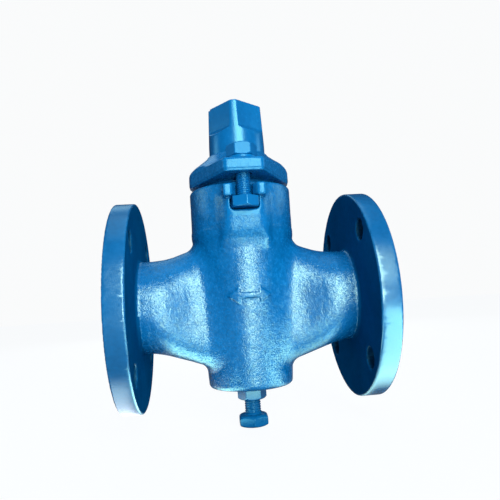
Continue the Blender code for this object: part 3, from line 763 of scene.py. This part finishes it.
def copper_seal():
    """Copper with blotches of blue paint."""
    mat = Material("copper_seal")
    colour = mat.ramp(mat.noise(260, detail=4, rough=0.6),
                      (0.3, srgb(150, 88, 58)), (0.7, srgb(206, 134, 96)))
    blotch = mat.ramp(mat.noise(90, detail=4, rough=0.7), (0.55, 0.0), (0.75, 0.75))
    mat.set(Base_Color=mat.mix(blotch, colour, srgb(30, 104, 170)), Metallic=0.85,
            Roughness=mat.ramp(mat.noise(420, detail=3), (0.3, 0.28), (0.7, 0.45)),
            Normal=mat.bump(mat.noise(800), strength=0.3, distance=0.0001))
    return mat.data


def bearing_steel():
    mat = Material("bearing_steel")
    colour = mat.ramp(mat.noise(300, detail=3),
                      (0.35, srgb(170, 171, 175)), (0.65, srgb(206, 207, 210)))
    mat.set(Base_Color=colour, Metallic=1.0,
            Roughness=mat.ramp(mat.noise(900, detail=4), (0.35, 0.08), (0.7, 0.2)),
            Normal=mat.bump(mat.noise(1200), strength=0.1, distance=0.00005))
    return mat.data


cast_blue = paint("cast_blue", rough=0.235, gloss=(0.66, 1.0, 0.78), ior=1.66, grit=(0.68, 0.24))
boss_blue = paint("boss_blue", rough=0.24, spec=0.75, gloss=(0.5, 1.0, 0.85), grit=(0.9, 0.4))
# painted shade: the bolt hole walls get a much darker copy of the blue
hole_shade_blue = paint("hole_shade_blue", cast=0.3, seed=0.19, tint=0.28, rough=0.42, spec=0.2)
lock_blue = paint("lock_blue", cast=0.0, seed=0.77, rough=0.24, ior=1.56, gloss=(0.6, 1.0, 0.9))
# painted shade: darker copy of the blue for the jacking bolt under the body
jack_shaded_blue = paint("jack_shaded_blue", cast=0.0, seed=0.91, tint=0.70, rough=0.28, spec=0.6)
gland_blue = paint("gland_blue", cast=0.25, seed=0.31, rough=0.26, spec=0.6)
stem_blue = paint("stem_blue", cast=0.12, seed=0.57, rough=0.24)
bolt_blue = paint("bolt_blue", cast=0.0, seed=0.83, tint=1.08, rough=0.24)
nut_blue = paint("nut_blue", cast=0.0, seed=0.67, rough=0.24, spec=0.38)
# painted shade: the flange rims get a darker copy of the blue
rim_shaded_blue = paint("rim_shaded_blue", cast=0.12, seed=0.11, tint=0.80, rough=0.23, gloss=(0.66, 1.0, 0.82),
                 ior=1.56)
# painted shade: darker, non-reflecting copy of the blue for faces behind the flanges
back_shade_blue = paint("back_shade_blue", cast=0.12, seed=0.23, tint=0.54, rough=0.50, spec=0.0, ior=1.02)
ear_blue = paint("ear_blue", cast=0.2, seed=0.47, rough=0.24, spec=0.62)
face_steel = turned("face_steel", about_pipe=True, pitch=0.0008, colour=(148, 150, 154),
                    rough=0.50, depth=0.00006, metallic=0.35)
seat_steel = turned("seat_steel", about_pipe=False, pitch=0.0005, colour=(132, 134, 138),
                    rough=0.24, depth=0.00002, metallic=0.95)
top_blue = paint("top_blue", cast=0.15, seed=0.4, rough=0.42, spec=0.3)
raw = raw_casting()
graphite = braided_graphite()
copper = copper_seal()
bearing = bearing_steel()


# ------------------------------------------------------------------ build the pieces
def place(piece, materials, body, node, slot, zones=None):
    """Give a piece its materials, the body it moves with and the node it replaces. The slot argument
    is not used.
    """
    for material in materials:
        piece.data.materials.append(material)
    if zones is not None:
        piece.data.polygons.foreach_set("material_index", zones)
    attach(piece, body)
    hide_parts(node)


def face_data(piece):
    """Centres, in mm as the fields use them, and normals of the faces."""
    found = []
    for key in ("center", "normal"):
        values = np.empty(len(piece.data.polygons) * 3)
        piece.data.polygons.foreach_get(key, values)
        found.append(values.reshape(-1, 3))
    centres = found[0] / MM
    centres[:, 2] -= PIPE_Z
    return centres, found[1]


def body_zones(piece):
    """Material of each face of the casting; later zones override earlier ones."""
    CAST, FACE, SEAT, RAW, SHADED_RIM, SHADED_BACK, EAR, BOSS, SHADED_HOLE = range(9)
    centres, normals = face_data(piece)
    x, y, z = centres.T
    abs_x, abs_y, rad, pipe_rad = np.abs(x), np.abs(y), np.hypot(x, y), np.hypot(y, z)
    deep = outer_body(x, y, z) < -1.2
    skin = ~deep
    hole_rad = np.hypot(abs_y - 51.27, np.abs(z) - 51.27)
    behind_flange = skin & (abs_x < 95)
    zones = np.full(len(centres), CAST, np.int32)
    zones[deep] = RAW
    zones[deep & (rad < 33.7) & (z > -57) & (abs_x < 34)] = SEAT
    # bolt hole walls take the darker paint that stands in for shade
    zones[((hole_rad < 9.4) | deep & (hole_rad < 10.2)) & (abs_x > 88)] = SHADED_HOLE
    zones[skin & (abs_x > 107.4)] = FACE
    zones[deep & (abs_y > 34.9) & (z > 71) & (abs_x < 18)] = CAST  # bolt head pockets
    zones[(pipe_rad > 87.2) & (abs_x > 90)] = SHADED_RIM
    # painted shade: inner flange faces and the neck-to-flange fillet take the darker back paint
    zones[behind_flange & (pipe_rad > 44) & (pipe_rad < 87.6) & (abs_x > 84)
          & (np.abs(normals[:, 0]) > 0.7)] = SHADED_BACK
    zones[behind_flange & (pipe_rad > 39.0) & (pipe_rad < 45) & (abs_x > 88.6)] = SHADED_BACK
    zones[skin & (abs_y > 50) & (abs_x < 26) & (z > 68)] = EAR
    zones[skin & (abs_y > 42.5) & (abs_x < 22) & (z > 50) & (z < 68.1)] = BOSS
    zones[skin & (abs_y > 38) & (abs_y <= 50.2) & (abs_x < 14.5) & (z > 68) & (z < 84.4)] = EAR
    return zones


def plug_zones(piece):
    STEM, SEAT, RAW, TOP = range(4)
    centres, normals = face_data(piece)
    x, y, z = centres.T
    zones = np.where(z > 99.0, STEM, SEAT).astype(np.int32)
    zones[(np.hypot(x, y) < 27.3 + z / SEAT_TAPER) & (z < 50)] = RAW
    zones[(z > 173.0) & (normals[:, 2] > 0.9)] = TOP
    return zones


casting = solid("valve_body", body_field, (110, 89), (-89, BODY_TOP), step=1.15,
                rough=body_rough, limit=190000)
place(casting, [cast_blue, face_steel, seat_steel, raw, rim_shaded_blue, back_shade_blue, ear_blue, boss_blue,
                hole_shade_blue], "root", "body", "casting", body_zones(casting))

plug = solid("plug_with_stem", plug_field, (32, 32), (PLUG_BOTTOM, STEM_TOP), step=0.8,
             limit=110000)
place(plug, [stem_blue, seat_steel, raw, top_blue], "plug", "plug", "plug", plug_zones(plug))

gland = solid("gland_plate", gland_field, (48, 62), (SLEEVE_END, HUB_TOP), step=0.64,
              rough=gland_rough, limit=120000)
sleeve_zone = (face_data(gland)[0][:, 2] < 96.6).astype(np.int32)
place(gland, [gland_blue, seat_steel], "gland", "gland", "gland", sleeve_zone)

washer_bottom = GLAND_TOP + GAP
washer_top = washer_bottom + WASHER_HEIGHT
gland_nut_bottom = washer_top + GAP
for bolt_y, tag in ((-BOLT_Y, "front"), (BOLT_Y, "rear")):
    bolt = solid("gland_bolt_%s_threaded" % tag, gland_bolt_field(bolt_y), (12.2, 12.2),
                 (HEAD_Z - HEAD_HALF, BOLT_TIP), step=0.33, y=bolt_y)
    place(bolt, [bolt_blue], "root", "gland_bolt_" + tag, "fastener")
    gland_nut = nut("gland_nut_%s_hex" % tag, gland_nut_bottom, gland_nut_bottom + 10.4,
                    bore=6.12, y=bolt_y)
    place(gland_nut, [nut_blue], "gland_nut_" + tag, "gland_nut_" + tag, "fastener")
    washer = flat_ring("gland_washer_%s_plain" % tag, 6.6, WASHER_RADIUS, washer_bottom,
                       washer_top, edge=0.35, step=0.36, y=bolt_y)
    place(washer, [nut_blue], "gland", "gland_washer_" + tag, "fastener")

jack = solid("jacking_bolt_threaded", jack_field, (14, 14), (-PIPE_Z, JACK_TIP), step=0.36)
place(jack, [jack_shaded_blue], "jacking_bolt", "jacking_bolt", "fastener")
seal_top = BODY_BOTTOM - GAP
seal_bottom = seal_top - SEAL_HEIGHT
lock_top = seal_bottom - GAP
lock = nut("lock_nut_hex", lock_top - LOCK_HEIGHT, lock_top, bore=7.12)
place(lock, [lock_blue], "lock_nut", "lock_nut", "fastener")
seal = flat_ring("seal_washer_soft", 7.4, WASHER_RADIUS, seal_bottom, seal_top,
                 edge=0.45, step=0.34)
place(seal, [copper], "seal_washer", "seal_washer", "seal")

pack_washer = flat_ring("packing_washer_flat", PACK_INNER, PACK_OUTER, 55.3, 58.3,
                        edge=0.4, step=0.7)
place(pack_washer, [seat_steel], "root", "packing_washer", "machined")
pack_pitch = (PACK_HIGH - PACK_LOW + GAP) / PACK_COUNT
for k in range(PACK_COUNT):
    bottom = PACK_LOW + pack_pitch * k
    top = bottom + pack_pitch - GAP
    ring = solid("packing_ring_%d_braid" % (k + 1), packing_field(bottom, top), (32.8, 32.8),
                 (bottom, top), step=0.62)
    place(ring, [graphite], "root", "packing_ring_%d" % (k + 1), "packing")
    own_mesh(ring)

ball_z = JACK_TIP + GAP + BALL_BOX
ball = solid("thrust_ball_bearing",
             lambda x, y, z: np.sqrt(x * x + y * y + (z - ball_z) ** 2) - BALL_RADIUS,
             (BALL_BOX, BALL_BOX), (ball_z - BALL_BOX, ball_z + BALL_BOX), step=0.3)
place(ball, [bearing], "thrust_ball", "thrust_ball", "ball")


# ------------------------------------------------------------------ floor
def window(mat, value, low, high, soft):
    """1 between low and high, 0 outside, with soft edges."""
    sides = []
    for limit, start, end in ((low, 0.0, 1.0), (high, 1.0, 0.0)):
        past = mat.math("MULTIPLY", mat.math("SUBTRACT", value, limit), 1.0 / soft)
        sides.append(mat.ramp(mat.math("ADD", past, 0.5), (0.0, start), (1.0, end)))
    return mat.math("MULTIPLY", *sides)


def floor_white():
    """White to the camera; glossy rays see bright sheets and a patch on black instead."""
    mat = Material("floor_white")
    ray = mat.node("ShaderNodeLightPath").outputs
    x, y, _ = mat.xyz()
    lean = mat.math("ADD", x, mat.math("MULTIPLY", y, 0.22))
    sheets = [
        # across, from, to, y from, y to, power
        (x, -0.020, 0.045, -0.40, -0.13, 5.0),
        (x, -0.088, -0.03, -0.10, 0.01, 9.0),
        (x, 0.045, 0.10, -0.10, 0.01, 3.6),
        (lean, 0.085, 0.20, -0.40, -0.04, 9.0),
    ]
    lit = 0.0
    for across, low, high, y_low, y_high, power in sheets:
        sheet = mat.math("MULTIPLY", window(mat, across, low, high, soft=0.02),
                         window(mat, y, y_low, y_high, soft=0.04))
        lit = mat.math("ADD", mat.math("MULTIPLY", sheet, power), lit)
    # small patch under the left flange
    patch = mat.math("MULTIPLY", window(mat, x, -0.130, -0.100, soft=0.012),
                     window(mat, y, -0.078, 0.07, soft=0.03))
    lit = mat.mix(1.0, lit, (0.60, 0.96, 1.0, 1), "MULTIPLY")
    patch = mat.mix(1.0, patch, (3.3, 3.5, 4.2, 1), "MULTIPLY")
    seen = mat.mix(ray["Is Glossy Ray"], (0, 0, 0, 1), mat.mix(1.0, lit, patch, "ADD"))
    glow = mat.mix(ray["Is Camera Ray"], seen, (0.93, 0.945, 0.955, 1))
    base = mat.mix(ray["Is Camera Ray"], (0.20, 0.21, 0.22, 1), (0.03, 0.03, 0.03, 1))
    # clear when a camera looks up through it
    under = mat.node("ShaderNodeNewGeometry").outputs["Backfacing"]
    hidden = mat.math("MULTIPLY", under, ray["Is Camera Ray"])
    mat.set(Base_Color=base, Roughness=0.7, Emission_Color=glow, Emission_Strength=1.0,
            Alpha=mat.math("SUBTRACT", 1.0, hidden))
    return mat.data


bpy.ops.mesh.primitive_plane_add(size=8.0, location=(0, 0, 0))
floor = bpy.context.object
floor.name = "floor"
floor.data.materials.append(floor_white())

# ------------------------------------------------------------------ world, lights, camera
scene = bpy.context.scene
world = bpy.data.worlds.new("studio")
scene.world = world
world.use_nodes = True
sky = Nodes(world.node_tree)
ray = sky.node("ShaderNodeLightPath").outputs
colour = sky.mix(ray["Is Glossy Ray"], (0.26, 0.31, 0.36, 1), (0.03, 0.05, 0.08, 1))
colour = sky.mix(ray["Is Camera Ray"], colour, (0.955, 0.965, 0.97, 1))
background = world.node_tree.nodes["Background"]
sky.feed(background.inputs["Color"], colour)
background.inputs["Strength"].default_value = 1.0

LIGHTS = [
    # name, place, height it aims at on the z axis, width, height, power, colour
    ("front_window", (0.16, -1.08, 0.62), 0.12, 0.60, 0.74, 14.5, (0.88, 0.98, 1.0)),
    ("low_window", (0.10, -0.74, 0.07), 0.08, 0.32, 0.14, 2.4, (0.88, 0.98, 1.0)),
    ("overhead", (0.0, 0.1, 1.3), 0.1, 0.9, 0.9, 1.4, (0.62, 0.86, 1.0)),
    ("rear_window", (-0.25, 1.05, 1.15), 0.12, 0.8, 0.5, 1.4, (0.48, 0.80, 1.0)),
    ("right_window", (1.15, 0.14, 0.45), 0.10, 0.4, 0.5, 1.2, (0.50, 0.82, 1.0)),
    ("left_window", (-1.15, 0.14, 0.45), 0.10, 0.4, 0.5, 1.2, (0.50, 0.82, 1.0)),
    ("rear_soft", (0.1, 1.2, 0.5), 0.10, 0.9, 0.7, 11.0, (0.9, 0.97, 1.0)),
]
for name, spot, aim_z, width, height, power, colour in LIGHTS:
    light = bpy.data.lights.new(name, "AREA")
    light.energy = power
    light.color = colour
    light.shape = "RECTANGLE"
    light.size = width
    light.size_y = height
    lamp = bpy.data.objects.new(name, light)
    scene.collection.objects.link(lamp)
    lamp.location = spot
    lamp.rotation_mode = "QUATERNION"
    lamp.rotation_quaternion = (Vector((0, 0, aim_z)) - Vector(spot)).to_track_quat("-Z", "Y")
    lamp.visible_glossy = name != "rear_soft"

scene.view_settings.view_transform = "Standard"

CAMERA_PLACE = (-0.03378, -0.43195, 0.10907)
yaw, pitch, roll = (math.radians(angle) for angle in (5.295, 5.618, -3.702))
camera_data = bpy.data.cameras.new("camera")
camera = bpy.data.objects.new("camera", camera_data)
scene.collection.objects.link(camera)
scene.camera = camera
forward = Vector((math.sin(yaw) * math.cos(pitch), math.cos(yaw) * math.cos(pitch),
                  math.sin(pitch)))
level_right = Vector((math.cos(yaw), -math.sin(yaw), 0))
level_up = level_right.cross(forward)
right = level_right * math.cos(roll) + level_up * math.sin(roll)
up = -level_right * math.sin(roll) + level_up * math.cos(roll)
turn = Matrix((right, up, -forward)).transposed()
camera.matrix_world = Matrix.Translation(CAMERA_PLACE) @ turn.to_4x4()
camera_data.lens, camera_data.sensor_width = 35.04, 36.0
camera_data.clip_start, camera_data.clip_end = 0.02, 20.0
